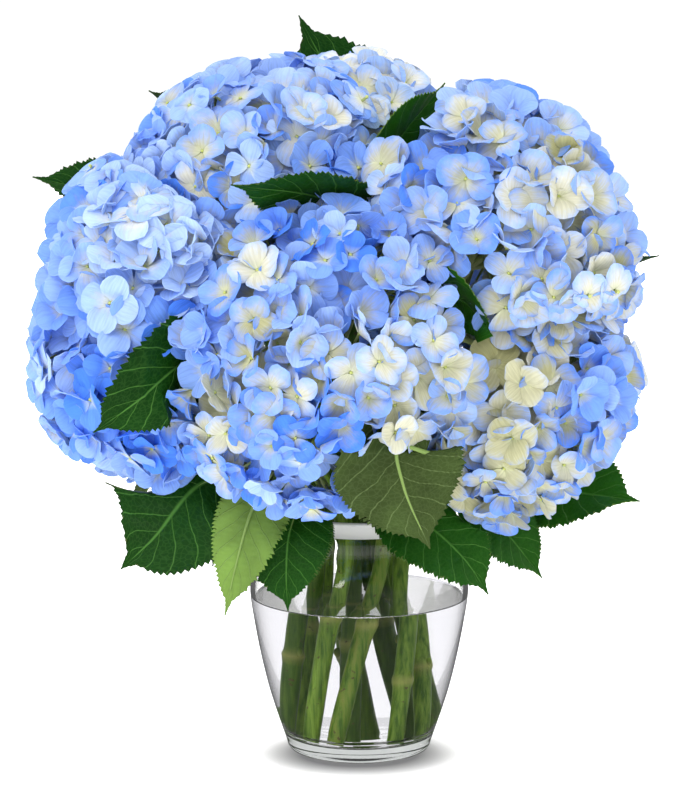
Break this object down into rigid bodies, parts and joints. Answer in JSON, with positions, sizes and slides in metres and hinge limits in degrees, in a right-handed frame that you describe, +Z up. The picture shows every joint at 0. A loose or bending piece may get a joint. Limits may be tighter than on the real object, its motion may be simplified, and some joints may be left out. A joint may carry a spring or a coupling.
{
  "type": "hydrangeas in a vase",
  "caption": "Bouquet of cut hydrangea heads and toothed leaves on green stems, standing in water in a clear glass vase.",
  "frame": {"origin": "centre of the vase's flat underside, on the surface it stands on", "axes": "+Z up along the vase's axis; -Y towards the viewer, where the front head faces; +X to the viewer's right"},
  "size_m": [0.3952, 0.3203, 0.4574],
  "materials": {
    "glass": "clear, polished",
    "water": "clear",
    "stem": "fresh green bark, slightly ribbed",
    "leaf": "waxy above, matt and paler below",
    "petal": "matt, velvety"
  },
  "bodies": {
    "root": {"bloom_back_left": "petal", "bloom_back_right": "petal", "bloom_front": "petal", "bloom_left": "petal", "bloom_lower_right": "petal", "bloom_top": "petal", "bloom_upper_left": "petal", "bloom_upper_right": "petal", "leaf_above_right": "leaf", "leaf_back_cleft": "leaf", "leaf_back_low_left": "leaf", "leaf_back_low_middle": "leaf", "leaf_back_low_right": "leaf", "leaf_behind_left": "leaf", "leaf_behind_right": "leaf", "leaf_behind_top": "leaf", "leaf_behind_upper_left": "leaf", "leaf_cleft": "leaf", "leaf_front": "leaf", "leaf_left_front": "leaf", "leaf_low_far_right": "leaf", "leaf_low_front": "leaf", "leaf_low_left": "leaf", "leaf_low_left_back": "leaf", "leaf_low_pale": "leaf", "leaf_low_right": "leaf", "leaf_middle": "leaf", "leaf_right_low": "leaf", "leaf_side_left": "leaf", "stem_back_left": "stem", "stem_back_right": "stem", "stem_front": "stem", "stem_leafy_back": "stem", "stem_leafy_front": "stem", "stem_left": "stem", "stem_lower_right": "stem", "stem_top": "stem", "stem_upper_left": "stem", "stem_upper_right": "stem", "vase": "glass", "water": "water"}
  },
  "joints": []
}
